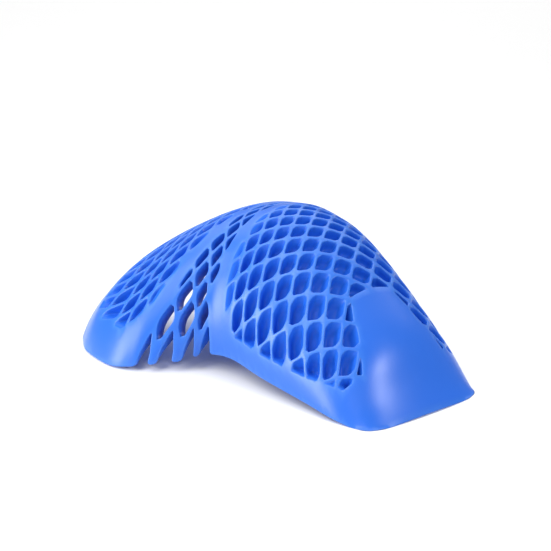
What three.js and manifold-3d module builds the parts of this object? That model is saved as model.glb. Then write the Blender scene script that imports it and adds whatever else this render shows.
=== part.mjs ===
// Shoulder protector: one flexible moulding that lies dome up on a table.
// Millimetres, +Z up. +X runs from the neck side to the arm end, -Y is the front edge.
// The origin is on the table, under the middle of the pad.
//
// The wall is worked out on a pattern of rows and columns. A row is one pitch of the diamond
// cells along the spine, a column is half a cell's length across it. Row 0, column 0 is the
// last whole cell on the spine before the arm flap.

import * as THREE from 'three';
import { mergeVertices } from 'three/addons/utils/BufferGeometryUtils.js';
import Module from 'manifold-3d';

// Wall sizes
const WALL = 8.5;            // thickness where the cells are
const GUSSET_WALL = 11.5;    // thickness of the gusset's strips
const FLAP_WALL = 5;         // thickness of the smooth arm and neck flaps
const EDGE = 2.6;            // thickness at the hem
const FLOOR = 2.2;           // skin left under the pockets of the cup and the neck panel
const EDGE_RAMP = 1.4;       // columns over which the hem thickens
const END_RAMP = 1.6;        // rows over which the two ends thicken
const CUT_CLEAR = 2.5;       // how far a cell cutter stands proud of both faces
const CELL_GRADE = 0.2;      // share of the across spacing that grows towards the hem
const MIN_CELL = 2.2;        // a cell with a half width under this stays closed

// One row for each cross section, from the neck end to the arm end. The spine is the middle of
// the section, the hem is its end on either side, across is the number of columns from spine to
// hem, and arch is the angle that the section turns through. The hem stands clear of the table
// between the wings and the arm.
const SECTIONS = [
  { row: -15.5, spineX: -101, spineZ: 50, hemX: -98.5, hemY: 99.5, hemZ: -1, across: 9.6, arch: 76 },
  { row: -14, spineX: -89, spineZ: 61, hemX: -79, hemY: 107, hemZ: -1, across: 9.8, arch: 79 },
  { row: -12, spineX: -70.5, spineZ: 72.2, hemX: -51.5, hemY: 107, hemZ: -1, across: 10, arch: 76 },
  { row: -9.5, spineX: -48.8, spineZ: 81.9, hemX: -36, hemY: 99.5, hemZ: 1.2, across: 10.2, arch: 77 },
  { row: -8, spineX: -35.1, spineZ: 85.1, hemX: -26.7, hemY: 89.6, hemZ: 3.1, across: 10.6, arch: 78 },
  { row: -6.5, spineX: -22.5, spineZ: 87.7, hemX: -17.4, hemY: 75.4, hemZ: 5, across: 11.1, arch: 79 },
  { row: -5, spineX: -10, spineZ: 89.1, hemX: -12.4, hemY: 64.6, hemZ: 7.7, across: 11.3, arch: 86 },
  { row: -3, spineX: 13.6, spineZ: 84.9, hemX: 3.4, hemY: 58, hemZ: 9.8, across: 9.9, arch: 93 },
  { row: -1, spineX: 37.5, spineZ: 73.1, hemX: 32.1, hemY: 55.2, hemZ: 6.3, across: 8.7, arch: 89 },
  { row: 1, spineX: 65, spineZ: 51.8, hemX: 65.6, hemY: 50.7, hemZ: 2.9, across: 7.6, arch: 88 },
  { row: 2.4, spineX: 85, spineZ: 34.5, hemX: 83.1, hemY: 48.5, hemZ: 1, across: 6.6, arch: 80 },
  { row: 3.8, spineX: 98.4, spineZ: 14.6, hemX: 97.7, hemY: 43.7, hemZ: -1, across: 5.8, arch: 76 },
  { row: 4.6, spineX: 105.5, spineZ: 5, hemX: 104.2, hemY: 40, hemZ: -1, across: 5, arch: 73 },
  { row: 5, spineX: 109, spineZ: 0.8, hemX: 107.5, hemY: 33, hemZ: -1, across: 4.2, arch: 72 },
];
const FIRST_ROW = SECTIONS[0].row;
const LAST_ROW = SECTIONS[SECTIONS.length - 1].row;
const MIDDLE_X = (SECTIONS[0].spineX + SECTIONS[SECTIONS.length - 1].spineX) / 2;

// Mesh of the wall
const ROW_STEPS = 26;
const COLUMN_STEPS = 18;

// Fields of cells: the pitch along the spine in rows, and half the length across in columns
const CUP = { pitch: 1, half: 1, strut: 1.2 };
const GUSSET = { half: 1.06, across: 11.2, lines: 9, strut: 1.2 };
const NECK = { start: -8.67, pitch: 1.12, half: 0.89, lines: 10, strut: 1.2, lean: 0.12, gather: 0.042 };
const NECK_END = -14.2;      // row where the neck panel's end border starts
const CUP_RIB = [
  { column: 0, row: -5.75 },
  { column: 3, row: -5.62 },
  { column: 4.5, row: -5.32 },
  { column: 6.2, row: -5.05 },
  { column: 7.4, row: -4.65 },
  { column: 8.1, row: -4.26 },
  { column: 8.6, row: -3.82 },
  { column: 8.8, row: -3.4 },
  { column: 10, row: -2.9 },
];
const CUP_BORDER = [
  { row: -3, columns: 0.95 },
  { row: -1, columns: 0.87 },
  { row: 0, columns: 0.94 },
  { row: 0.8, columns: 1.05 },
  { row: 1.6, columns: 1.28 },
  { row: 2.4, columns: 1.5 },
];
const RIB_CUP_SIDE = [
  { column: 0, row: -6.7 },
  { column: 2.7, row: -6.57 },
  { column: 4.6, row: -6.3 },
  { column: 6.5, row: -5.92 },
  { column: 7.3, row: -5.66 },
  { column: 8.1, row: -5.58 },
  { column: 9.26, row: -5.25 },
  { column: 10.26, row: -4.61 },
  { column: 11, row: -4.3 },
];
const RIB_NECK_SIDE = [
  { column: 0, row: -8 },
  { column: 2.3, row: -7.9 },
  { column: 3.5, row: -7.7 },
  { column: 5.8, row: -7.6 },
  { column: 7, row: -7.75 },
  { column: 7.6, row: -7.85 },
  { column: 8.03, row: -8.1 },
  { column: 8.87, row: -8.69 },
  { column: 9.31, row: -9.09 },
  { column: 9.7, row: -9.45 },
];
const NECK_RIB = [
  { column: 0, row: -8.5 },
  { column: 4.5, row: -8.4 },
  { column: 6.2, row: -8.42 },
  { column: 7.1, row: -8.7 },
  { column: 7.7, row: -8.9 },
  { column: 8.05, row: -9.2 },
  { column: 8.45, row: -9.9 },
  { column: 8.85, row: -10.7 },
  { column: 9.3, row: -11.6 },
];
const NECK_FLAP = [
  { row: -14, column: 8.2 },
  { row: -11, column: 8.8 },
  { row: -8, column: 8.85 },
];
const FLAP_EDGE = [
  { column: 0, row: 0.5 },
  { column: 1.5, row: 0.52 },
  { column: 1.95, row: 0.72 },
  { column: 2.4, row: 1.25 },
  { column: 2.75, row: 1.75 },
  { column: 3.1, row: 2.15 },
  { column: 3.3, row: 2.47 },
  { column: 3.7, row: 2.6 },
  { column: 4.2, row: 2.6 },
  { column: 5.2, row: 2.42 },
];
// Strips of the gusset along its lines of cells: middle row and pitch in rows
const GUSSET_FAN = [
  { line: 0, middle: -7.9, pitch: 1 },
  { line: 3, middle: -7.68, pitch: 1 },
  { line: 4, middle: -7.42, pitch: 1 },
  { line: 5, middle: -7.22, pitch: 0.98 },
  { line: 6, middle: -7, pitch: 0.92 },
  { line: 7, middle: -6.85, pitch: 0.95 },
  { line: 8, middle: -6.75, pitch: 1.02 },
  { line: 9, middle: -6.7, pitch: 1.15 },
  { line: 10.6, middle: -6.9, pitch: 1.3 },
];
// Notch between two strips of the gusset, as shares of the strips' pitch and lines of cells
const NOTCH = [
  { strip: 0, line: 9.3 },
  { strip: 0.27, line: 10.1 },
  { strip: 0.27, line: 11.6 },
  { strip: -0.27, line: 11.6 },
  { strip: -0.27, line: 10.1 },
];
const NOTCH_STRIPS = [-1.5, -0.5, 0.5, 1.5];

// Value of one column of a table at a place, by cubic pieces whose slopes are central differences
function alongTable(table, key, name, place) {
  const last = table.length - 1;
  let k = 0;
  while (k < last - 1 && place > table[k + 1][key]) k += 1;
  const slope = (n) => {
    const a = table[Math.max(n - 1, 0)];
    const b = table[Math.min(n + 1, last)];
    return (b[name] - a[name]) / (b[key] - a[key]);
  };
  const from = table[k];
  const to = table[k + 1];
  const step = to[key] - from[key];
  const t = (place - from[key]) / step;
  const rise = t * t * (3 - 2 * t);
  const leave = t * (1 - t) * (1 - t) * step * slope(k);
  const arrive = t * t * (t - 1) * step * slope(k + 1);
  return from[name] + (to[name] - from[name]) * rise + leave + arrive;
}

// Value of one column of a table at a place, by straight pieces
function straightTable(table, key, name, place) {
  const last = table.length - 1;
  let k = 0;
  while (k < last - 1 && place > table[k + 1][key]) k += 1;
  const t = (place - table[k][key]) / (table[k + 1][key] - table[k][key]);
  return THREE.MathUtils.lerp(table[k][name], table[k + 1][name], THREE.MathUtils.clamp(t, 0, 1));
}

const section = (name, row) => alongTable(SECTIONS, 'row', name, row);

// Point of the outer face: an oval arc from the spine to the hem
function outerPoint(row, column) {
  const share = Math.abs(column) / section('across', row);
  const turn = share * (1 - CELL_GRADE) + CELL_GRADE * share ** 3;
  const arch = THREE.MathUtils.degToRad(section('arch', row));
  const drop = (1 - Math.cos(turn * arch)) / (1 - Math.cos(arch));
  const out = Math.sin(turn * arch) / Math.sin(arch);
  return new THREE.Vector3(
    THREE.MathUtils.lerp(section('spineX', row), section('hemX', row), drop),
    Math.sign(column) * section('hemY', row) * out,
    THREE.MathUtils.lerp(section('spineZ', row), section('hemZ', row), drop),
  );
}

// Steps of the outer face for one row and for one column, in millimetres
function faceSteps(row, column) {
  const h = 0.05;
  const low = Math.max(row - h, FIRST_ROW);
  const high = Math.min(row + h, LAST_ROW);
  const side = column < 0 ? -h : h;
  const alongRow = outerPoint(high, column).sub(outerPoint(low, column)).divideScalar(high - low);
  const alongColumn = outerPoint(row, column + side).sub(outerPoint(row, column)).divideScalar(side);
  return { alongRow, alongColumn };
}

// Point under the outer face, a depth along its normal
function wallPoint(row, column, depth) {
  const { alongRow, alongColumn } = faceSteps(row, column);
  const normal = alongRow.cross(alongColumn).normalize();
  if (column === 0) normal.setY(0).normalize();
  return outerPoint(row, column).addScaledVector(normal, -depth);
}

const easeIn = (x) => THREE.MathUtils.smoothstep(x, 0, 1);

// Wall thickness: full in the cells, more in the gusset, thinner in the flap and thin at every edge
function thickness(row, column) {
  const hem = (section('across', row) - Math.abs(column)) / EDGE_RAMP;
  const end = Math.min(LAST_ROW - row, row - FIRST_ROW) / END_RAMP;
  const flap = row - straightTable(FLAP_EDGE, 'column', 'row', Math.abs(column));
  const cupSide = straightTable(RIB_CUP_SIDE, 'column', 'row', Math.abs(column)) - row;
  const neckSide = row - straightTable(RIB_NECK_SIDE, 'column', 'row', Math.abs(column));
  const strips = easeIn(1 + Math.min(cupSide, neckSide));
  const panel = THREE.MathUtils.lerp(WALL, FLAP_WALL, easeIn(flap));
  const full = THREE.MathUtils.lerp(panel, GUSSET_WALL, strips);
  return EDGE + (full - EDGE) * easeIn(hem) * easeIn(end);
}

// Geometry from a list of points and a list of corner triples
function geometryOf(points, triangles) {
  const geometry = new THREE.BufferGeometry();
  const flat = points.flatMap((p) => [p.x, p.y, p.z]);
  geometry.setAttribute('position', new THREE.Float32BufferAttribute(flat, 3));
  geometry.setIndex(triangles.flat());
  return geometry;
}

// The whole wall without its cells: an outer grid, an inner grid and a rim between them
function wallGeometry() {
  const points = [];
  const triangles = [];
  const across = COLUMN_STEPS + 1;
  const layer = (ROW_STEPS + 1) * across;
  for (const inside of [0, 1]) {
    for (let a = 0; a <= ROW_STEPS; a += 1) {
      const row = THREE.MathUtils.lerp(FIRST_ROW, LAST_ROW, a / ROW_STEPS);
      for (let b = 0; b <= COLUMN_STEPS; b += 1) {
        const column = (2 * b / COLUMN_STEPS - 1) * section('across', row);
        points.push(wallPoint(row, column, inside * thickness(row, column)));
      }
    }
  }
  const at = (a, b, inside) => inside * layer + a * across + b;
  for (let a = 0; a < ROW_STEPS; a += 1) {
    for (let b = 0; b < COLUMN_STEPS; b += 1) {
      triangles.push([at(a, b, 0), at(a + 1, b, 0), at(a + 1, b + 1, 0)]);
      triangles.push([at(a, b, 0), at(a + 1, b + 1, 0), at(a, b + 1, 0)]);
      triangles.push([at(a, b, 1), at(a + 1, b + 1, 1), at(a + 1, b, 1)]);
      triangles.push([at(a, b, 1), at(a, b + 1, 1), at(a + 1, b + 1, 1)]);
    }
  }
  const border = [];
  for (let a = 0; a < ROW_STEPS; a += 1) border.push([a, 0]);
  for (let b = 0; b < COLUMN_STEPS; b += 1) border.push([ROW_STEPS, b]);
  for (let a = ROW_STEPS; a > 0; a -= 1) border.push([a, COLUMN_STEPS]);
  for (let b = COLUMN_STEPS; b > 0; b -= 1) border.push([0, b]);
  border.forEach(([a, b], n) => {
    const [c, d] = border[(n + 1) % border.length];
    triangles.push([at(a, b, 0), at(a, b, 1), at(c, d, 0)]);
    triangles.push([at(c, d, 0), at(a, b, 1), at(c, d, 1)]);
  });
  return geometryOf(points, triangles);
}

// Outlines of a cell: a diamond, and one whose two blunt corners are cut
const BLUNT = 0.22;
const PLAIN_DIAMOND = [[1, 0], [0, 1], [-1, 0], [0, -1]];
const CUT_DIAMOND = [
  [1 - BLUNT, -BLUNT], [1 - BLUNT, BLUNT], [0, 1], [BLUNT - 1, BLUNT], [BLUNT - 1, -BLUNT], [0, -1],
];

// Corners of a cell on the pattern, set in by half a strut, or nothing where it would be too small
function cellCorners(field, outline, place) {
  const centre = place(0, 0);
  const { alongRow, alongColumn } = faceSteps(centre.row, centre.column);
  const halfRow = Math.abs(place(1, 0).row - centre.row) * alongRow.length();
  const halfColumn = field.half * alongColumn.length();
  const inset = 1 - field.strut * Math.hypot(halfRow, halfColumn) / (halfRow * halfColumn);
  if (halfRow * inset < MIN_CELL) return null;
  return outline.map(([u, v]) => place(u * inset, v * inset));
}

// Is a place of the pattern inside the cup's field of cells
function inCup({ row, column }) {
  const away = Math.abs(column);
  const border = straightTable(CUP_BORDER, 'row', 'columns', row);
  return away < section('across', row) - border
    && row > straightTable(CUP_RIB, 'column', 'row', away)
    && row < straightTable(FLAP_EDGE, 'column', 'row', away);
}

// Is a place of the pattern inside the gusset between the ribs
function inGusset({ row, column }) {
  const away = Math.abs(column);
  return row < straightTable(RIB_CUP_SIDE, 'column', 'row', away)
    && row > straightTable(RIB_NECK_SIDE, 'column', 'row', away);
}

// Is a place of the pattern inside the neck panel's field of cells
function inNeck({ row, column }) {
  const away = Math.abs(column);
  return away < straightTable(NECK_FLAP, 'row', 'column', row)
    && row > NECK_END
    && row < straightTable(NECK_RIB, 'column', 'row', away);
}

// Place of a strip and a line of the gusset: strips fan out towards the hem, lines follow the hem
function gussetPlace(strip, line) {
  const away = Math.abs(line);
  const middle = straightTable(GUSSET_FAN, 'line', 'middle', away);
  const row = middle + strip * straightTable(GUSSET_FAN, 'line', 'pitch', away);
  return { row, column: line * GUSSET.half * section('across', row) / GUSSET.across };
}

// Place of a step and a line of the neck panel: lines lean back near the flap and gather to the end
function neckPlace(step, line) {
  const away = line * NECK.half;
  const lean = NECK.lean * Math.max(Math.abs(away) - 4.5, 0) ** 2;
  const row = NECK.start + step * NECK.pitch - lean;
  return { row, column: away * (1 + NECK.gather * (row + 10.5)) };
}

// Cells of the cup: rows and columns of the pattern itself, every other place
function cupCells() {
  const cells = [];
  for (let column = -9; column <= 9; column += 1) {
    const shift = Math.abs(column % 2) / 2;
    for (let row = -6 + shift; row <= 3; row += CUP.pitch) {
      const place = (u, v) => ({ row: row + u * CUP.pitch / 2, column: column + v * CUP.half });
      const corners = cellCorners(CUP, CUT_DIAMOND, place);
      if (corners && corners.every(inCup)) cells.push(corners);
    }
  }
  return cells;
}

// Cells of the neck panel: slimmer diamonds, every other place
function neckCells() {
  const cells = [];
  for (let line = -NECK.lines; line <= NECK.lines; line += 1) {
    const shift = 0.5 - Math.abs(line % 2) / 2;
    for (let step = -5 + shift; step <= 2; step += 1) {
      const place = (u, v) => neckPlace(step + u / 2, line + v);
      const corners = cellCorners(NECK, PLAIN_DIAMOND, place);
      if (corners && corners.every(inNeck)) cells.push(corners);
    }
  }
  return cells;
}

// Cells of the gusset between its ribs
function gussetCells() {
  const cells = [];
  for (let line = -GUSSET.lines; line <= GUSSET.lines; line += 1) {
    const shift = 0.5 - Math.abs(line % 2) / 2;
    for (let strip = -2 + shift; strip <= 2; strip += 1) {
      const place = (u, v) => gussetPlace(strip + u / 2, line + v);
      const corners = cellCorners(GUSSET, CUT_DIAMOND, place);
      if (corners && corners.every(inGusset)) cells.push(corners);
    }
  }
  return cells;
}

// Open notches that part the ends of the gusset's strips, at the front hem and the back hem
function notchCells() {
  return NOTCH_STRIPS.flatMap((strip) => {
    const back = NOTCH.map((corner) => gussetPlace(strip + corner.strip, corner.line));
    const front = NOTCH.map((corner) => gussetPlace(strip + corner.strip, -corner.line)).reverse();
    return [back, front];
  });
}

const rightThrough = () => GUSSET_WALL + CUT_CLEAR;
const downToFloor = (row, column) => thickness(row, column) - FLOOR;

// Cutters for a list of cells: closed prisms that stand proud of the outer face and end at a depth
function cutterGeometry(cells, depthAt) {
  const points = [];
  const triangles = [];
  for (const corners of cells) {
    const first = points.length;
    const count = corners.length;
    for (const { row, column } of corners) points.push(wallPoint(row, column, -CUT_CLEAR));
    for (const { row, column } of corners) points.push(wallPoint(row, column, depthAt(row, column)));
    for (let k = 0; k < count; k += 1) {
      const next = (k + 1) % count;
      triangles.push([first + k, first + count + k, first + next]);
      triangles.push([first + next, first + count + k, first + count + next]);
    }
    for (let k = 1; k < count - 1; k += 1) {
      triangles.push([first, first + k, first + k + 1]);
      triangles.push([first + count, first + count + k + 1, first + count + k]);
    }
  }
  return geometryOf(points, triangles);
}

const wasm = await Module();
wasm.setup();

// Solid of a closed geometry
function solidOf(geometry) {
  const bare = geometry.clone();
  bare.deleteAttribute('normal');
  bare.deleteAttribute('uv');
  const merged = mergeVertices(bare);
  return new wasm.Manifold(new wasm.Mesh({
    numProp: 3,
    vertProperties: new Float32Array(merged.attributes.position.array),
    triVerts: new Uint32Array(merged.index.array),
  }));
}

// The half space above the table, as a large block
function aboveTable() {
  const block = new THREE.BoxGeometry(400, 400, 200);
  block.translate(0, 0, 100);
  return solidOf(block);
}

// The moulding: the wall, with pockets in the cup and the neck panel, open cells and notches in the
// gusset, and its hem cut level with the table
function padGeometry() {
  const pockets = cutterGeometry([...cupCells(), ...neckCells()], downToFloor);
  const openings = cutterGeometry([...gussetCells(), ...notchCells()], rightThrough);
  const pierced = solidOf(wallGeometry()).subtract(solidOf(pockets)).subtract(solidOf(openings));
  const solid = pierced.intersect(aboveTable());
  const { vertProperties, triVerts } = solid.getMesh();
  const geometry = new THREE.BufferGeometry();
  geometry.setAttribute('position', new THREE.BufferAttribute(vertProperties, 3));
  geometry.setIndex(new THREE.BufferAttribute(triVerts, 1));
  geometry.computeVertexNormals();
  return geometry;
}

const mouldedBlue = new THREE.MeshStandardMaterial({ color: 0x3f7df2, roughness: 0.5, metalness: 0 });

const shoulderProtector = new THREE.Group();
const pad = new THREE.Mesh(padGeometry(), mouldedBlue);
pad.name = 'protector_pad';
pad.position.x = -MIDDLE_X;
shoulderProtector.add(pad);

export default shoulderProtector;
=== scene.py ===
"""Shoulder protector: the cellular moulding and its studio stage, laid out as an add-on.

Everything is worked out on a pattern of rows and columns. A row is one pitch of the cup's diamond
cells along the spine, a column is half a cell's length across it. Lengths are in millimetres until
a mesh is written, and the mesh is in metres.
"""

import math

import bpy
import numpy as np
from bpy.props import FloatProperty, FloatVectorProperty, PointerProperty
from mathutils import Matrix, Vector
from mathutils.geometry import delaunay_2d_cdt


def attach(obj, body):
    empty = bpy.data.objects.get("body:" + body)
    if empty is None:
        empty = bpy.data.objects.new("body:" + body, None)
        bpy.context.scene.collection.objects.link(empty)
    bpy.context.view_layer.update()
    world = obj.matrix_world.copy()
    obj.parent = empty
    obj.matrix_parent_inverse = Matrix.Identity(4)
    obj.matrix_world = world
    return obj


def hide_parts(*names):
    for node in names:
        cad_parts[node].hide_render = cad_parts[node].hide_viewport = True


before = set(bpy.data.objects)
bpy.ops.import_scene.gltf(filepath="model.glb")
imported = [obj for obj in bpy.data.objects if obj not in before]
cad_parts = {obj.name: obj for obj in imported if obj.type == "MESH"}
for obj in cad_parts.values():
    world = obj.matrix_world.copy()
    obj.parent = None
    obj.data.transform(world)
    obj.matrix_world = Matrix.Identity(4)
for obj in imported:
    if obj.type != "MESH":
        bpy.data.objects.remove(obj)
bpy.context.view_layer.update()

bl_info = {
    "name": "Shoulder Protector",
    "version": (1, 0, 0),
    "blender": (4, 5, 0),
    "location": "View3D > Sidebar > Protector",
    "description": "Builds a one-piece shoulder protector with pocketed panels and an open gusset",
    "category": "Object",
}

CAD_NODE = "protector_pad"
MM = 0.001

# One row for each cross section, from the neck end to the arm end. The spine is the middle of the
# section, the hem is its end on either side, across is the columns from spine to hem, arch the angle
# that the section turns through. The hem stands clear of the table between the wings and the arm.
SECTION_COLUMNS = ("row", "spine_x", "spine_z", "hem_x", "hem_y", "hem_z", "across", "arch")
SECTIONS = np.array([
    (-15.5, -101, 50, -98.5, 99.5, -1, 9.6, 76),
    (-14, -89, 61, -79, 107, -1, 9.8, 79),
    (-12, -70.5, 72.2, -51.5, 107, -1, 10, 76),
    (-9.5, -48.8, 81.9, -36, 99.5, 1.2, 10.2, 77),
    (-8, -35.1, 85.1, -26.7, 89.6, 3.1, 10.6, 78),
    (-6.5, -22.5, 87.7, -17.4, 75.4, 5, 11.1, 79),
    (-5, -10, 89.1, -12.4, 64.6, 7.7, 11.3, 86),
    (-3, 13.6, 84.9, 3.4, 58, 9.8, 9.9, 93),
    (-1, 37.5, 73.1, 32.1, 55.2, 6.3, 8.7, 89),
    (1, 65, 51.8, 65.6, 50.7, 2.9, 7.6, 88),
    (2.4, 85, 34.5, 83.1, 48.5, 1, 6.6, 80),
    (3.8, 98.4, 14.6, 97.7, 43.7, -1, 5.8, 76),
    (4.6, 105.5, 5, 104.2, 40, -1, 5, 73),
    (5, 109, 0.8, 107.5, 33, -1, 4.2, 72),
])
FIRST_ROW, LAST_ROW = SECTIONS[0, 0], SECTIONS[-1, 0]
MIDDLE_X = (SECTIONS[0, 1] + SECTIONS[-1, 1]) / 2
CELL_GRADE = 0.2             # share of the across spacing that grows towards the hem
HEM_TRIM = 0.09              # columns that the table takes off the hem
HEM_TAPER, END_TAPER = 1.4, 1.6  # columns from the hem, rows from an end, to the full wall

# Edges of the fields of cells, on the pattern: column, then row
FLAP_EDGE = np.array([
    (0, 0.5), (1.5, 0.52), (1.95, 0.72), (2.4, 1.25), (2.75, 1.75), (3.1, 2.15), (3.3, 2.47), (3.7, 2.6),
    (4.2, 2.6), (5.2, 2.42), (6, 2.3)])
CUP_RIB = np.array([
    (0, -5.75), (3, -5.62), (4.5, -5.32), (6.2, -5.05), (7.4, -4.65), (8.1, -4.26), (8.6, -3.82), (8.8, -3.4),
    (10, -2.9)])
RIB_CUP_SIDE = np.array([
    (0, -6.7), (2.7, -6.57), (4.6, -6.3), (6.5, -5.92), (7.3, -5.66), (8.1, -5.58), (9.26, -5.25),
    (10.26, -4.61), (11, -4.3), (13, -4.1)])
RIB_NECK_SIDE = np.array([
    (0, -8), (2.3, -7.9), (3.5, -7.7), (5.8, -7.6), (7, -7.75), (7.6, -7.85), (8.03, -8.1), (8.87, -8.69),
    (9.31, -9.09), (9.7, -9.45), (13, -9.6)])
NECK_RIB = np.array([
    (0, -8.5), (4.5, -8.4), (6.2, -8.42), (7.1, -8.7), (7.7, -8.9), (8.05, -9.2), (8.45, -9.9), (8.85, -10.7),
    (9.3, -11.6)])
# Smooth borders by row: columns inside the cup's hem, and the column where the neck panel's flap starts
CUP_BORDER = np.array([(-3, 0.95), (-1, 0.87), (0, 0.94), (0.8, 1.05), (1.6, 1.28), (2.4, 1.5)])
NECK_FLAP = np.array([(-14, 8.2), (-11, 8.8), (-8, 8.85)])
NECK_END = -14.2             # row where the neck panel's end border starts

# Gusset: lines of cells that follow the hem, crossed by strips that fan out. Line, middle row, pitch in rows
GUSSET_FAN = np.array([
    (0, -7.9, 1), (3, -7.68, 1), (4, -7.42, 1), (5, -7.22, 0.98), (6, -7, 0.92), (7, -6.85, 0.95),
    (8, -6.75, 1.02), (9, -6.7, 1.15), (10.6, -6.9, 1.3)])
GUSSET_HALF, GUSSET_ACROSS = 1.06, 11.2
GUSSET_ROW = -7              # a row of the gusset, between the neck panel and the cup
NOTCHES = np.array([-1.5, -0.5, 0.5, 1.5])  # strips at which the hem is notched
NOTCH_LINES = (9.3, 10.1)    # where a notch starts and where it is widest
NOTCH_HALF = 0.27            # half a notch's width, as a share of the strips' pitch
NOTCH_ROWS = (-10.2, -3.4)   # rows between which the hem's edge can run along the mould's pull
NOTCH_IN = 1.2               # columns from the hem where a notch's edge runs fully along the pull
PULL = (0.42, 0.74)          # parts, along and across the spine, of the way that the openings run
PULL_IN = 5                  # columns from the spine where the part across it is reached
POCKET_LEAN = 0.4            # columns that the floor of a cup's pocket is shifted towards the hem
LEAN_IN = 2                  # columns from the spine where the whole shift is reached

# Neck panel: pitch in rows, half a cell's length in columns, start row, and how its lines lean and gather
NECK_PITCH, NECK_HALF, NECK_START = 1.12, 0.89, -8.67
NECK_LEAN, NECK_GATHER = 0.12, 0.042
NECK_STRAIGHT = 4.5          # columns from the spine where the lines start to lean
NECK_MIDDLE = -10.5          # row where the lines neither gather nor spread

# Cells
DIAMOND = np.array([(1, 0), (0, 1), (-1, 0), (0, -1)])
CUP_BLUNT, NECK_BLUNT, GUSSET_BLUNT = 0.38, 0.28, 0.3  # share of the half width cut off blunt corners
POCKET_POWER, OPENING_POWER = 22, 14  # how sharp the corners of pockets and of open cells are
MOST_SIDES = 9               # four, two at the blunt corners and up to three edges of the field
FAR = 1e3                    # millimetres, farther than any side
LEAST_CELL = 0.8             # millimetres from a cell's middle to its nearest side
LEAST_INSIDE = 8             # a cell that is kept has more trial places inside it than this
SLOPE_START = 0.2            # millimetres outside a sloped side where the pocket's floor starts to fall
# A rounded edge: distance outwards and distance down, as shares of its radius
ROUNDED_EDGE = ((1.0, 0.0), (0.55, 0.12), (0.16, 0.45), (0.0, 1.0))
HIGHLIGHT_DOWN = 0.3                 # distance down, as a share of the radius, where the painted highlight on an edge is strongest
MOST_BITE = 0.4              # share of the wall that one rounded edge can take
# A pocket's floor: share of the outline, and millimetres above the floor
POCKET_FLOOR = ((0.98, 3), (0.88, 1.1), (0.66, 0.25), (0.34, 0))

# Spacing of the mesh
ROW_MM, COLUMN_MM = 13, 10.5  # usual size of a row and a column, for even triangles
OUTLINE_STEPS = 28           # points round a cell
SMOOTH_STEP = 3.2            # millimetres between points of the smooth areas
MOST_COLUMNS = 11.5          # columns that the grid of those points covers on each side
HEM_STEP = 1.3               # millimetres between points of the hem
HEM_ROUNDS = 5               # times that the hem's corners are eased

# Stage, in metres and watts. Each soft box: name, place, aim, side, power
SOFTBOXES = (
    ("overhead_softbox", (-2.0, 1.45, 2.4), (-2.0, 1.45, 0), 5.0, 115.0),
    ("front_softbox", (-0.11, -0.66, 0.87), (0, 0, 0.04), 0.8, 6.5),
    ("left_softbox", (-0.36, -1.02, 0.20), (0, 0, 0.04), 0.5, 7.5),
    ("right_softbox", (0.83, 0.24, 0.63), (0.08, 0, 0.03), 0.20, 3.0),
    ("camera_softbox", (0.85, -0.62, 0.55), (0, 0, 0.04), 0.7, 1.8),
)
ROOM_LIGHT = 0.25            # strength of the white room
FLOOR_REACH, FLOOR_DROP = 6.0, 0.0002  # half the floor's side, and how far it lies under the pad
SENSOR_MM = 36.0


class ProtectorPadSettings(bpy.types.PropertyGroup):
    """Sizes and colours of the moulding."""

    wall: FloatProperty(
        name="Wall", description="Thickness where the pockets are", default=0.0085, unit="LENGTH")
    gusset_wall: FloatProperty(
        name="Gusset wall", description="Thickness of the gusset's strips", default=0.0115, unit="LENGTH")
    flap_wall: FloatProperty(
        name="Flap wall", description="Thickness of the smooth arm flap", default=0.005, unit="LENGTH")
    edge: FloatProperty(
        name="Edge", description="Thickness at the hem", default=0.0026, unit="LENGTH")
    skin: FloatProperty(
        name="Skin", description="Thickness left under the pockets", default=0.0022, unit="LENGTH")
    slope: FloatProperty(
        name="Slope", description="Length over which a pocket's floor rises to a border", default=0.009,
        unit="LENGTH")
    strut: FloatProperty(
        name="Strut", description="Width of the bars between cells", default=0.0018, unit="LENGTH")
    round_over: FloatProperty(
        name="Round over", description="Radius on every moulded edge", default=0.0006, unit="LENGTH")
    draft: FloatProperty(
        name="Draft", description="How much narrower a cell is at the inner face, each side",
        default=0.0003, unit="LENGTH")
    colour: FloatVectorProperty(
        name="Colour", description="Blue of the rubber foam, linear", subtype="COLOR", size=3,
        default=(0.016, 0.132, 0.660))
    # A paler blue painted on every rounded edge as a highlight
    highlight_colour: FloatVectorProperty(
        name="Rim colour", description="Paler blue of rubbed edges, linear", subtype="COLOR", size=3,
        default=(0.05, 0.21, 0.68))


class ProtectorStageSettings(bpy.types.PropertyGroup):
    """Camera and floor."""

    azimuth: FloatProperty(
        name="Azimuth", description="Camera's turn from the front towards the arm end",
        default=math.radians(53.3), subtype="ANGLE")
    elevation: FloatProperty(
        name="Elevation", description="Camera's height above the horizon",
        default=math.radians(19.2), subtype="ANGLE")
    distance: FloatProperty(
        name="Distance", description="From the camera to its aim", default=0.670, unit="LENGTH")
    lens: FloatProperty(name="Lens", description="Focal length on a 36 mm sensor", default=75.2)
    aim: FloatVectorProperty(
        name="Aim", description="Point that the camera looks at", size=3, unit="LENGTH",
        default=(-0.004, -0.0219, 0.0531))


def linear(hex_colour):
    """Linear red, green and blue of an sRGB hex colour."""
    srgb = np.array([int(hex_colour[k:k + 2], 16) for k in (1, 3, 5)]) / 255
    return tuple(np.where(srgb <= 0.04045, srgb / 12.92, ((srgb + 0.055) / 1.055) ** 2.4))


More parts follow.
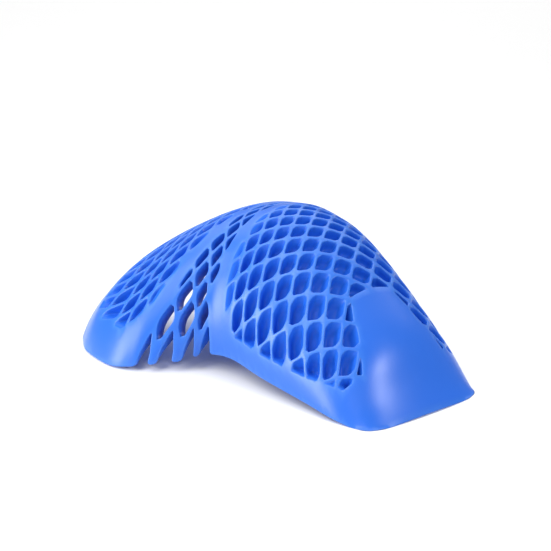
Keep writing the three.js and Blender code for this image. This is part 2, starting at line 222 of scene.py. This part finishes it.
def section(name, row):
    """A column of the section table at the rows asked for: cubic pieces with central-difference slopes."""
    known, value = SECTIONS[:, 0], SECTIONS[:, SECTION_COLUMNS.index(name)]
    before = np.r_[0, np.arange(len(known) - 1)]
    after = np.r_[np.arange(1, len(known)), len(known) - 1]
    slope = (value[after] - value[before]) / (known[after] - known[before])
    k = np.clip(np.searchsorted(known, row) - 1, 0, len(known) - 2)
    step = known[k + 1] - known[k]
    t = (row - known[k]) / step
    rise = t * t * (3 - 2 * t)
    return (value[k] + (value[k + 1] - value[k]) * rise + t * (1 - t) ** 2 * step * slope[k]
            + t * t * (t - 1) * step * slope[k + 1])


def outer_point(row, column):
    """Outer face: an oval arc that leaves the spine level and turns by the section's arch to the hem."""
    share = np.abs(column) / section("across", row)
    arch = np.radians(section("arch", row))
    turn = arch * (share * (1 - CELL_GRADE) + CELL_GRADE * share ** 3)
    drop = (1 - np.cos(turn)) / (1 - np.cos(arch))
    x = section("spine_x", row) * (1 - drop) + section("hem_x", row) * drop - MIDDLE_X
    y = np.sign(column) * section("hem_y", row) * np.sin(turn) / np.sin(arch)
    z = section("spine_z", row) * (1 - drop) + section("hem_z", row) * drop
    return np.stack([x, y, z], -1)


def face_steps(row, column):
    """Steps of the outer face for one row and for one column, by central differences."""
    h = 0.02
    low, high = np.maximum(row - h, FIRST_ROW), np.minimum(row + h, LAST_ROW)
    along_row = (outer_point(high, column) - outer_point(low, column)) / (high - low)[..., None]
    along_column = (outer_point(row, column + h) - outer_point(row, column - h)) / (2 * h)
    return along_row, along_column


def wall_point(row, column, depth):
    """A point under the outer face, a depth along its normal, and never below the table."""
    along_row, along_column = face_steps(row, column)
    normal = np.cross(along_row, along_column)
    normal /= np.linalg.norm(normal, axis=-1, keepdims=True)
    point = outer_point(row, column) - normal * np.asarray(depth)[..., None]
    point[..., 2] = np.maximum(point[..., 2], 0.0)
    return point


def face_frame(row, column):
    """Millimetres on the face: of a row, and of a column along the row and square to the row."""
    along_row, along_column = face_steps(row, column)
    size = np.linalg.norm(along_row, axis=-1)
    skew = (along_row * along_column).sum(-1) / size
    return np.stack([size, skew, np.sqrt((along_column ** 2).sum(-1) - skew ** 2)], -1)


def to_face(step, size):
    """Millimetres on the face for a step in rows and columns, where size is the face's frame."""
    along = step[..., 0] * size[..., 0] + step[..., 1] * size[..., 1]
    return np.stack([along, step[..., 1] * size[..., 2]], -1)


def to_pattern(step, size):
    """Rows and columns for a step in millimetres on the face."""
    column = step[..., 1] / size[..., 2]
    return np.stack([(step[..., 0] - column * size[..., 1]) / size[..., 0], column], -1)


def ease(x):
    """Smooth step from 0 to 1."""
    t = np.clip(x, 0, 1)
    return t * t * (3 - 2 * t)


def edge_row(table, column):
    """Row of a field's edge at a column, by straight pieces, the same on both sides of the spine."""
    return np.interp(np.abs(column), table[:, 0], table[:, 1])


def thickness(pad, row, column):
    """Wall thickness: full at the pockets, more in the gusset, less in the flap and thin at every edge."""
    hem = ease((section("across", row) - np.abs(column)) / HEM_TAPER)
    end = ease(np.minimum(LAST_ROW - row, row - FIRST_ROW) / END_TAPER)
    flap = ease(row - edge_row(FLAP_EDGE, column))
    strips = ease(1 + np.minimum(*gusset_margins(row, column)))
    full = (pad.wall * (1 - flap) + pad.flap_wall * flap) * (1 - strips) + pad.gusset_wall * strips
    return (pad.edge + (full - pad.edge) * hem * end) / MM


def cup_margins(row, column):
    """How far a place is inside the cup's field, past its rib, its hem border and the flap."""
    border = np.interp(row, CUP_BORDER[:, 0], CUP_BORDER[:, 1])
    return (row - edge_row(CUP_RIB, column), section("across", row) - border - np.abs(column),
            edge_row(FLAP_EDGE, column) - row)


def gusset_margins(row, column):
    """How far a place is inside the gusset, past the rib on each side."""
    return edge_row(RIB_CUP_SIDE, column) - row, row - edge_row(RIB_NECK_SIDE, column)


def neck_margins(row, column):
    """How far a place is inside the neck panel's field, past its rib, its end border and its flap."""
    flap = np.interp(row, NECK_FLAP[:, 0], NECK_FLAP[:, 1])
    return edge_row(NECK_RIB, column) - row, row - NECK_END, flap - np.abs(column)


def every_other(steps, lines, odd):
    """Centres and corners of a diamond lattice: every other crossing of its half steps and its lines."""
    half_steps = np.arange(2 * steps[0], 2 * steps[1] + 1)
    a, b = np.meshgrid(half_steps, np.arange(-lines, lines + 1), indexing="ij")
    keep = (a + b) % 2 == odd
    centre = np.stack([a[keep] / 2, b[keep]], -1)
    return centre, centre[:, None] + DIAMOND * (0.5, 1)


def cup_place(place):
    """The cup's lattice is the pattern itself."""
    return place


def gusset_place(place):
    """Row and column of a strip and a line of the gusset: strips fan out, lines follow the hem."""
    strip, line = place[..., 0], place[..., 1]
    middle, pitch = (np.interp(np.abs(line), GUSSET_FAN[:, 0], GUSSET_FAN[:, k]) for k in (1, 2))
    row = middle + strip * pitch
    return np.stack([row, line * GUSSET_HALF * section("across", row) / GUSSET_ACROSS], -1)


def neck_place(place):
    """Row and column of a place in the neck panel: lines lean back near the flap and gather to the end."""
    away = place[..., 1] * NECK_HALF
    lean = NECK_LEAN * np.clip(np.abs(away) - NECK_STRAIGHT, 0, None) ** 2
    row = NECK_START + place[..., 0] * NECK_PITCH - lean
    return np.stack([row, away * (1 + NECK_GATHER * (row - NECK_MIDDLE))], -1)


def laid_out(place, steps, lines, odd=0):
    """A lattice's centres and corners on the pattern, by the function that places it."""
    centre, corners = every_other(steps, lines, odd)
    return place(centre), place(corners)


def pocket_fields():
    """Candidate cells of the cup and neck panel: centres, corners, margins, which slope up, blunt share."""
    return [(*laid_out(cup_place, (-7, 4), 10), cup_margins, (1, 1, 0), CUP_BLUNT),
            (*laid_out(neck_place, (-5, 2), 10, 1), neck_margins, (1, 1, 1), NECK_BLUNT)]


def opening_fields():
    """Candidate cells of the gusset, in the same form."""
    return [(*laid_out(gusset_place, (-4, 4), 9, 1), gusset_margins, (0, 0, 0), GUSSET_BLUNT)]


def cell_sides(pad, centre, corners, margins, cut):
    """Sides of each cell as outward normals and distances from its centre, in millimetres.

    Four sides join the diamond's corners, set in by half a strut, and two cut its blunt corners off. The
    others are the field's edges, as straight lines through the nearest place, so a cell on the border is
    cut where the border is.
    """
    row, column = centre[:, 0], centre[:, 1]
    size = face_frame(row, column)
    corner = to_face(corners - centre[:, None], size[:, None])
    edge = np.roll(corner, -1, 1) - corner
    normal = np.stack([edge[..., 1], -edge[..., 0]], -1)
    normal /= np.linalg.norm(normal, axis=-1, keepdims=True)
    long_way = corner[:, 1] - corner[:, 3]
    long_way /= np.linalg.norm(long_way, axis=-1, keepdims=True)
    blunt = np.stack([long_way[:, 1], -long_way[:, 0]], -1)
    blunt = np.stack([blunt, -blunt], 1)
    normals = [normal, blunt]
    width = (blunt * corner[:, [0, 2]]).sum(-1)
    distances = [(normal * corner).sum(-1) - pad.strut / MM / 2, width * (1 - cut)]
    h = 0.1
    here = margins(row, column)
    by_row = [(b - a) / (2 * h) for a, b in zip(margins(row - h, column), margins(row + h, column))]
    by_column = [(b - a) / (2 * h) for a, b in zip(margins(row, column - h), margins(row, column + h))]
    for value, d_row, d_column in zip(here, by_row, by_column):
        slope = np.stack([d_row, d_column - d_row * size[:, 1] / size[:, 0]], -1) / size[:, [0, 2]]
        steep = np.maximum(np.linalg.norm(slope, axis=-1), 1e-4)
        normals.append((-slope / steep[:, None])[:, None])
        distances.append((value / steep)[:, None])
    half = np.abs(corner).max(1)
    return np.concatenate(normals, 1), np.concatenate(distances, 1), half, size


def recentre(normals, distances, half):
    """Middle of each cut cell: the mean of a grid of places that lie inside all of its sides."""
    grid = np.stack(np.meshgrid(*[np.linspace(-0.98, 0.98, 25)] * 2, indexing="ij"), -1).reshape(-1, 2)
    places = grid[None] * half[:, None]
    inside = (np.einsum("ngd,nkd->ngk", places, normals) < distances[:, None]).all(-1)
    count = np.maximum(inside.sum(1), 1)
    return (places * inside[..., None]).sum(1) / count[:, None], inside.sum(1)


def make_cells(pad, fields):
    """Cells of some fields that are large enough: centre, middle, sides, half size, frame, sloped sides."""
    kept = []
    for centre, corners, margins, sloped, cut in fields:
        normals, distances, half, size = cell_sides(pad, centre, corners, margins, cut)
        middle, count = recentre(normals, distances, half)
        room = distances - np.einsum("nd,nkd->nk", middle, normals)
        keep = (count > LEAST_INSIDE) & (room.min(1) > LEAST_CELL)
        spare = MOST_SIDES - normals.shape[1]
        normals = np.pad(normals, ((0, 0), (0, spare), (0, 0)))
        room = np.pad(room, ((0, 0), (0, spare)), constant_values=FAR)
        slopes = np.tile(np.array((0, 0, 0, 0, 0, 0) + sloped, bool), (len(centre), 1))
        kept.append([part[keep] for part in (centre, middle, normals, room, half, size, slopes)])
    return [np.concatenate(parts) for parts in zip(*kept)]


def cell_outline(cells, power, grow, shrink=1.0):
    """Rows and columns of every cell's outline, and the distance of each point from a sloped side.

    A direction meets side k at room_k / (normal_k . direction). A power mean of the inverses gives the
    distance to the nearest side, with the corners rounded, less so for a higher power. Grow moves the
    sides outwards and shrink draws the outline towards the middle.
    """
    centre, middle, normals, room, half, size, slopes = cells
    turn = np.linspace(0, 2 * np.pi, OUTLINE_STEPS, endpoint=False)
    way = np.stack([np.cos(turn), np.sin(turn)], -1)[None] * half[:, None]
    facing = np.einsum("nad,nkd->nak", way, normals)
    reach = (np.clip(facing, 0, None) / (room[:, None] + grow)) ** power
    length = shrink / reach.sum(-1) ** (1 / power)
    outline = middle[:, None] + way * length[..., None]
    gap = np.where(slopes[:, None], room[:, None] - facing * length[..., None], FAR).min(-1)
    return (centre[:, None] + to_pattern(outline, size[:, None])).reshape(-1, 2), gap.ravel()


def hem_path():
    """Rows and columns once round the moulding's outline, with the notches between the gusset's strips.

    A notch starts at a point, widens like a cell down to the last line and then runs straight to the hem.
    """
    row_step, clear = 0.1, 0.02
    at_line = lambda strip, line: gusset_place(np.stack([strip, np.full(strip.shape, line)], -1))
    sides = NOTCHES - NOTCH_HALF, NOTCHES + NOTCH_HALF
    wide = [at_line(side, NOTCH_LINES[1]) for side in sides]
    top = at_line(NOTCHES, NOTCH_LINES[0])
    low, high = (at_line(side, GUSSET_FAN[-1, 0])[:, 0] for side in sides)
    plain = np.arange(FIRST_ROW, LAST_ROW + 1e-6, row_step)
    plain = plain[~((plain[:, None] > low - clear) & (plain[:, None] < high + clear)).any(1)]
    on_hem = lambda row: np.stack([row, section("across", row) - HEM_TRIM], -1)
    pieces = [on_hem(plain), on_hem(low), wide[0], top, wide[1], on_hem(high)]
    width = high - low
    keys = [plain] + [low + width * share for share in (0.0, 0.2, 0.5, 0.8, 1.0)]
    front = np.concatenate(pieces)[np.argsort(np.concatenate(keys), kind="stable")] * (1, -1)
    ends = np.linspace(-1, 1, 60)[1:-1]
    arm = np.stack([np.full(ends.shape, LAST_ROW), ends * -front[-1, 1]], -1)
    neck = np.stack([np.full(ends.shape, FIRST_ROW), ends * front[0, 1]], -1)
    back = front[::-1] * (1, -1)
    return even_steps(np.concatenate([front, arm, back, neck]))


def even_steps(path):
    """A closed path in steps of one length on the outer face, with its corners eased over a few steps."""
    closed = np.concatenate([path, path[:1]])
    length = np.linalg.norm(np.diff(outer_point(closed[:, 0], closed[:, 1]), axis=0), axis=-1)
    run = np.r_[0, np.cumsum(length)]
    count = int(run[-1] / HEM_STEP)
    at = np.linspace(0, run[-1], count, endpoint=False)
    even = np.stack([np.interp(at, run, closed[:, k]) for k in (0, 1)], -1)
    for _ in range(HEM_ROUNDS):
        even = (np.roll(even, 1, 0) + 2 * even + np.roll(even, -1, 0)) / 4
    return even


def move_in(path, distance):
    """A closed path moved into the material by a distance in millimetres on the face."""
    size = face_frame(path[:, 0], path[:, 1])
    ahead = to_face(np.roll(path, -1, 0) - np.roll(path, 1, 0), size)
    ahead /= np.linalg.norm(ahead, axis=-1, keepdims=True)
    inward = np.stack([-ahead[:, 1], ahead[:, 0]], -1)
    moved = path + to_pattern(inward * distance, size)
    moved[:, 0] = np.clip(moved[:, 0], FIRST_ROW, LAST_ROW)
    return moved


def inside_loop(points, loop):
    """Which points lie inside a closed loop, by counting the edges that a ray crosses."""
    a, b = loop, np.roll(loop, -1, 0)
    x, y = points[:, :1], points[:, 1:]
    spans = (a[:, 1] > y) != (b[:, 1] > y)
    rise = np.where(b[:, 1] == a[:, 1], 1e-12, b[:, 1] - a[:, 1])
    crossing = a[:, 0] + (y - a[:, 1]) * (b[:, 0] - a[:, 0]) / rise
    return (spans & (x < crossing)).sum(1) % 2 == 1


def smooth_points(cells, hem, clear):
    """Places between the cells: a grid of even spacing, clear of every cell and of the hem."""
    columns = np.arange(-MOST_COLUMNS, MOST_COLUMNS + 0.1, SMOOTH_STEP / COLUMN_MM)
    rows = np.arange(FIRST_ROW, LAST_ROW, SMOOTH_STEP / ROW_MM)
    grid = np.stack(np.meshgrid(rows, columns, indexing="ij"), -1).reshape(-1, 2)
    grid = grid[inside_loop(grid, move_in(hem, clear))]
    centre, middle, normals, room, half, size, slopes = cells
    free = np.ones(len(grid), bool)
    for k in range(len(centre)):
        local = to_face(grid - centre[k], size[k]) - middle[k]
        free &= ~(local @ normals[k].T < room[k] + clear).all(1)
    return grid[free]


def fill_between(outlines, hem, extra):
    """Triangles that fill the face between the cells' outlines, the hem and the extra places."""
    points = np.concatenate([outlines, hem, extra])
    flat = points * (ROW_MM, COLUMN_MM)
    steps, start = OUTLINE_STEPS, len(outlines)
    at = np.arange(start)
    cell_edges = np.stack([at, at - at % steps + (at + 1) % steps], -1)
    around = np.arange(len(hem))
    hem_edges = np.stack([start + around, start + (around + 1) % len(hem)], -1)
    edges = np.concatenate([cell_edges, hem_edges]).tolist()
    result = delaunay_2d_cdt([Vector(p) for p in flat], edges, [], 0, 1e-7, True)
    if len(result[0]) != len(points):
        raise RuntimeError("the outlines cross: %d places became %d" % (len(points), len(result[0])))
    source = np.array([ids[0] for ids in result[3]])
    faces = source[np.array(result[2])]
    number = np.arange(len(points))
    owner = np.where(number < start, number // steps, -1 - number)
    own = owner[faces]
    faces = faces[~((own[:, 0] == own[:, 1]) & (own[:, 1] == own[:, 2]))]
    faces = faces[inside_loop(flat[faces].mean(1), hem * (ROW_MM, COLUMN_MM))]
    a, b, c = flat[faces[:, 0]], flat[faces[:, 1]], flat[faces[:, 2]]
    turned = (b - a)[:, 0] * (c - a)[:, 1] < (b - a)[:, 1] * (c - a)[:, 0]
    faces[turned] = faces[turned][:, ::-1]
    return faces


def pocket_rings(pad, cells):
    """Rings down a pocket, as (places, depths, rim): a rounded rim, a wall, a rounded floor and its middle.

    The floor lies a skin's thickness above the inner face, and rises to the outer face at a sloped side. In
    the cup it is shifted towards the hem.
    """
    radius, draft = pad.round_over / MM, pad.draft / MM

    def outline(grow, shrink):
        place, gap = cell_outline(cells, POCKET_POWER, grow, shrink)
        full = thickness(pad, place[:, 0], place[:, 1]) - pad.skin / MM
        return place, full, full * ease((gap + SLOPE_START) / (pad.slope / MM))

    rings = []
    for out, down in ROUNDED_EDGE:
        place, _, floor = outline(out * radius, 1)
        # The rim is the weight of a painted highlight, strongest a little way down the rounded edge
        rings.append((place, np.minimum(down * radius, floor), np.full(len(place), 1 - abs(down - HIGHLIGHT_DOWN))))
    for shrink, lift in POCKET_FLOOR:
        place, full, floor = outline(-draft, shrink)
        depth = np.maximum(floor - lift * floor / full, np.minimum(radius, floor))
        side = np.clip(place[:, 1] / LEAN_IN, -1, 1) * (place[:, 0] > GUSSET_ROW)
        lean = POCKET_LEAN * side * depth / full
        place = place + np.stack([np.zeros(len(place)), lean], -1)
        rings.append((place, depth, np.full(len(place), -1.0)))
    return rings


def slip(pad, place):
    """Shift on the pattern, at the inner face, of a hole that runs along the mould's pull.

    The pull leans along the spine, and away from it too: to the front on the front half and to the back on
    the back half. The shift is the part of the pull along the face, for the mean of the wall in the gusset
    and at the hem.
    """
    row, column = place[:, 0], place[:, 1]
    along_row, along_column = face_steps(row, column)
    normal = np.cross(along_row, along_column)
    normal /= np.linalg.norm(normal, axis=-1, keepdims=True)
    side = PULL[1] * ease(np.abs(column) / PULL_IN)
    up = np.sqrt(1 - PULL[0] ** 2 - side ** 2)
    pull = np.stack([np.full(len(place), PULL[0]), np.sign(column) * side, up], -1)
    flat = normal - pull / (pull * normal).sum(-1, keepdims=True)
    flat *= (pad.gusset_wall + pad.edge) / 2 / MM
    size = face_frame(row, column)
    ahead = along_row / size[:, :1]
    across = (along_column - ahead * size[:, 1:2]) / size[:, 2:]
    return to_pattern(np.stack([(flat * ahead).sum(-1), (flat * across).sum(-1)], -1), size)


def opening_rings(pad, cells):
    """Rings through an open cell: a rounded rim, a wall along the mould's pull and a rounded inner rim."""
    def outline(grow, inner):
        place = cell_outline(cells, OPENING_POWER, grow - inner * pad.draft / MM)[0]
        return place + inner * slip(pad, place)
    return through_rings(pad, outline)


def hem_rings(pad, hem):
    """Rings round the hem's edge, rounded at both faces. The notches run along the mould's pull too."""
    def outline(grow, inner):
        place = move_in(hem, grow)
        gusset = ease(place[:, 0] - NOTCH_ROWS[0]) * ease(NOTCH_ROWS[1] - place[:, 0])
        gusset *= ease((section("across", place[:, 0]) - np.abs(place[:, 1])) / NOTCH_IN)
        return place + inner * gusset[:, None] * slip(pad, place)
    return through_rings(pad, outline)


def through_rings(pad, outline):
    """Eight rings of an edge that runs through the wall. Outline gives the places for a distance grown."""
    radius = pad.round_over / MM
    rings = []
    for out, down in ROUNDED_EDGE:
        place = outline(out * radius, 0)
        bite = np.minimum(down * radius, MOST_BITE * thickness(pad, place[:, 0], place[:, 1]))
        # The outer rim carries a painted highlight, strongest a little way down the rounded edge; the inner
        # rim has none
        rings.append((place, bite, np.full(len(place), 1 - abs(down - HIGHLIGHT_DOWN))))
    for out, down in ROUNDED_EDGE[::-1]:
        place = outline(out * radius, 1)
        thick = thickness(pad, place[:, 0], place[:, 1])
        rings.append((place, thick - np.minimum(down * radius, MOST_BITE * thick), np.zeros(len(place))))
    return rings


def ring_quads(first, ring, count, levels):
    """Quads between successive levels of closed rings of count points, facing the rings' middle."""
    at = np.arange(ring)
    ahead = at - at % count + (at + 1) % count
    upper = first + np.arange(levels - 1)[:, None] * ring
    quads = np.stack([upper + at, upper + ahead, upper + ring + ahead, upper + ring + at], -1)
    return quads.reshape(-1, 4)


def pad_mesh(pad):
    """The moulding: faces filled between the cells, and rings down every pocket, opening and the hem.

    Each point is a row, a column and a depth under the outer face. The inner face is filled between the
    openings alone, because the pockets do not reach it.
    """
    radius = pad.round_over / MM
    pockets = make_cells(pad, pocket_fields())
    openings = make_cells(pad, opening_fields())
    hem = hem_path()
    blocks, starts, total = [], [], 0
    pocket_levels = pocket_rings(pad, pockets)
    middle = pocket_levels[-1][0].reshape(-1, OUTLINE_STEPS, 2).mean(1)
    centre_depth = pocket_levels[-1][1].reshape(-1, OUTLINE_STEPS).mean(1)
    groups = [pocket_levels, opening_rings(pad, openings), hem_rings(pad, hem)]
    outer_extra = smooth_points([np.concatenate(pair) for pair in zip(pockets, openings)], hem, radius + 1)
    inner_extra = smooth_points(openings, hem, radius + 1)
    inner_depth = thickness(pad, inner_extra[:, 0], inner_extra[:, 1])
    singles = ((middle, centre_depth, -1), (outer_extra, np.zeros(len(outer_extra)), 0),
               (inner_extra, inner_depth, 0))
    groups += [[(place, depth, np.full(len(place), edge_highlight_mark))] for place, depth, edge_highlight_mark in singles]
    for group in groups:
        starts.append(total)
        blocks += group
        total += sum(len(block[0]) for block in group)
    place, depth, rim = (np.concatenate(column) for column in zip(*blocks))
    points = wall_point(place[:, 0], place[:, 1], depth) * MM
    ring = [len(group[0][0]) for group in groups]
    ids = [start + np.arange(size) for start, size in zip(starts, ring)]
    outer_ids = np.concatenate([ids[0], ids[1], ids[2], ids[4]])
    outer = fill_between(np.concatenate([groups[0][0][0], groups[1][0][0]]), groups[2][0][0], outer_extra)
    inner_ids = np.concatenate([ids[1] + 7 * ring[1], ids[2] + 7 * ring[2], ids[5]])
    inner = fill_between(groups[1][7][0], groups[2][7][0], inner_extra)
    floor_ring = ids[0] + 7 * ring[0]
    ahead = np.roll(floor_ring.reshape(-1, OUTLINE_STEPS), -1, 1).ravel()
    fans = np.stack([floor_ring, ahead, np.repeat(ids[3], OUTLINE_STEPS)], -1)
    quads = np.concatenate([
        ring_quads(starts[0], ring[0], OUTLINE_STEPS, 8), ring_quads(starts[1], ring[1], OUTLINE_STEPS, 8)])
    hem_quads = ring_quads(starts[2], ring[2], ring[2], 8)[:, ::-1]
    polygons = [outer_ids[outer], inner_ids[inner][:, ::-1], fans, quads, hem_quads]
    return points, [polygon for block in polygons for polygon in block.tolist()], rim


def new_object(name, points, polygons):
    """An object at the origin whose mesh holds the points and polygons, shaded smooth."""
    mesh = bpy.data.meshes.new(name)
    mesh.from_pydata(points.tolist(), [], polygons)
    mesh.validate()
    mesh.polygons.foreach_set("use_smooth", np.ones(len(mesh.polygons), bool))
    piece = bpy.data.objects.new(name, mesh)
    bpy.context.scene.collection.objects.link(piece)
    return piece


def add_node(tree, kind, links=None, **settings):
    """Adds a node: settings are its attributes, links maps an input to a value or to a node's output."""
    node = tree.nodes.new(kind)
    for name, value in settings.items():
        setattr(node, name, value)
    for name, value in (links or {}).items():
        if isinstance(value, bpy.types.NodeSocket):
            tree.links.new(value, node.inputs[name])
        else:
            node.inputs[name].default_value = value
    return node


def moulded_rubber(pad):
    """Blue moulded rubber foam: closed skin, satin, with a fine grain and a paler blue painted on its rounded
    edges as a highlight, mottled at random.
    """
    material = bpy.data.materials.new("moulded_blue_rubber_foam")
    material.use_nodes = True
    tree = material.node_tree
    tree.nodes.clear()
    place = add_node(tree, "ShaderNodeTexCoord")
    grain_mm, mottle_mm = 0.7, 14.0
    grain = add_node(tree, "ShaderNodeTexNoise", {
        "Vector": place.outputs["Object"], "Scale": 1 / (grain_mm * MM), "Detail": 2.0, "Roughness": 0.6})
    mottle = add_node(tree, "ShaderNodeTexNoise", {
        "Vector": place.outputs["Object"], "Scale": 1 / (mottle_mm * MM), "Detail": 3.0, "Roughness": 0.55})
    # The rim attribute weights a painted highlight on rounded edges. It is -1 in the pockets' depths, where
    # the gloss is lower.
    rim = add_node(tree, "ShaderNodeAttribute", attribute_name="rim")
    share = add_node(
        tree, "ShaderNodeMath", {0: rim.outputs["Fac"], 1: mottle.outputs["Fac"]}, operation="MULTIPLY")
    # Mixes in the paler blue as a painted highlight on rounded edges, mottled at random
    colour = add_node(tree, "ShaderNodeMix", {
        "Factor": share.outputs[0], "A": (*pad.colour, 1), "B": (*pad.highlight_colour, 1)}, data_type="RGBA")
    rough = add_node(tree, "ShaderNodeMapRange", {
        "Value": mottle.outputs["Fac"], "To Min": 0.27, "To Max": 0.37})
    gloss = add_node(tree, "ShaderNodeMapRange", {
        "Value": rim.outputs["Fac"], "From Min": -1.0, "From Max": 0.0, "To Min": 0.15, "To Max": 0.5})
    bump = add_node(tree, "ShaderNodeBump", {
        "Height": grain.outputs["Fac"], "Strength": 0.12, "Distance": 0.0002})
    shader = add_node(tree, "ShaderNodeBsdfPrincipled", {
        "Base Color": colour.outputs["Result"], "Roughness": rough.outputs["Result"], "IOR": 1.5,
        "Specular IOR Level": gloss.outputs["Result"],
        "Sheen Weight": 0.02, "Sheen Roughness": 0.6, "Sheen Tint": (0.75, 0.8, 1, 1),
        "Normal": bump.outputs["Normal"]})
    add_node(tree, "ShaderNodeOutputMaterial", {"Surface": shader.outputs["BSDF"]})
    return material


def pale_floor():
    """Seamless white paper: matt, with no pattern."""
    material = bpy.data.materials.new("white_backdrop_paper")
    material.use_nodes = True
    shader = material.node_tree.nodes["Principled BSDF"]
    shader.inputs["Base Color"].default_value = (*linear("#F6F6F6"), 1)
    shader.inputs["Roughness"].default_value = 0.9
    return material


def add_area(name, place, aim, size, power):
    """A square soft box at a place, pointed at an aim, in metres and watts."""
    light = bpy.data.lights.new(name, "AREA")
    light.size = size
    light.energy = power
    lamp = bpy.data.objects.new(name, light)
    lamp.matrix_world = (Matrix.Translation(place)
                         @ (Vector(aim) - Vector(place)).to_track_quat("-Z", "Y").to_matrix().to_4x4())
    bpy.context.scene.collection.objects.link(lamp)
    return lamp


class PROTECTOR_OT_pad(bpy.types.Operator):
    """Make the moulding with its pockets and open cells in place of the plain solid"""

    bl_idname = "protector.make_pad"
    bl_label = "Make Pad"

    def execute(self, context):
        pad = context.scene.protector_pad
        points, polygons, edge_highlight_mark = pad_mesh(pad)
        piece = new_object("cellular_moulding", points, polygons)
        if len(piece.data.vertices) != len(points):
            raise RuntimeError("the moulding lost vertices when it was checked")
        # The rim attribute carries the painted highlight on rounded edges to the material
        rim = piece.data.attributes.new("rim", "FLOAT", "POINT")
        rim.data.foreach_set("value", edge_highlight_mark.astype(np.float32))
        piece.data.materials.append(moulded_rubber(pad))
        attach(piece, "root")
        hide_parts(CAD_NODE)
        return {"FINISHED"}


class PROTECTOR_OT_stage(bpy.types.Operator):
    """Make the pale floor, the soft lights and the camera"""

    bl_idname = "protector.make_stage"
    bl_label = "Make Stage"

    def execute(self, context):
        stage = context.scene.protector_stage
        corners = np.array([(-1, -1, 0), (1, -1, 0), (1, 1, 0), (-1, 1, 0)]) * FLOOR_REACH
        floor = new_object("paper_floor", corners - (0, 0, FLOOR_DROP), [(0, 1, 2, 3)])
        floor.data.materials.append(pale_floor())
        turn, rise = stage.azimuth, stage.elevation
        way = Vector((math.cos(rise) * math.sin(turn), -math.cos(rise) * math.cos(turn), math.sin(rise)))
        aim = Vector(stage.aim)
        camera = bpy.data.objects.new("camera", bpy.data.cameras.new("camera"))
        camera.data.lens = stage.lens
        camera.data.sensor_width = SENSOR_MM
        camera.data.clip_start = 0.01
        camera.matrix_world = (Matrix.Translation(aim + way * stage.distance)
                               @ way.to_track_quat("Z", "Y").to_matrix().to_4x4())
        context.scene.collection.objects.link(camera)
        context.scene.camera = camera
        for softbox in SOFTBOXES:
            add_area(*softbox)
        world = bpy.data.worlds.new("studio_room")
        world.use_nodes = True
        world.node_tree.nodes["Background"].inputs["Color"].default_value = (1, 1, 1, 1)
        world.node_tree.nodes["Background"].inputs["Strength"].default_value = ROOM_LIGHT
        context.scene.world = world
        context.scene.view_settings.view_transform = "Standard"
        return {"FINISHED"}


class PROTECTOR_PT_panel(bpy.types.Panel):
    """Lists the protector's steps and settings"""

    bl_idname = "PROTECTOR_PT_panel"
    bl_label = "Shoulder Protector"
    bl_space_type = "VIEW_3D"
    bl_region_type = "UI"
    bl_category = "Protector"

    def draw(self, context):
        for settings, operator in ((context.scene.protector_pad, PROTECTOR_OT_pad),
                                   (context.scene.protector_stage, PROTECTOR_OT_stage)):
            for name in settings.__annotations__:
                self.layout.prop(settings, name)
            self.layout.operator(operator.bl_idname)


CLASSES = (ProtectorPadSettings, ProtectorStageSettings,
           PROTECTOR_OT_pad, PROTECTOR_OT_stage, PROTECTOR_PT_panel)


def register():
    for cls in CLASSES:
        bpy.utils.register_class(cls)
    bpy.types.Scene.protector_pad = PointerProperty(type=ProtectorPadSettings)
    bpy.types.Scene.protector_stage = PointerProperty(type=ProtectorStageSettings)


def unregister():
    del bpy.types.Scene.protector_stage
    del bpy.types.Scene.protector_pad
    for cls in reversed(CLASSES):
        bpy.utils.unregister_class(cls)


def main():
    """Registers the add-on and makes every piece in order."""
    register()
    bpy.ops.protector.make_pad()
    bpy.ops.protector.make_stage()


if __name__ == "__main__":
    main()
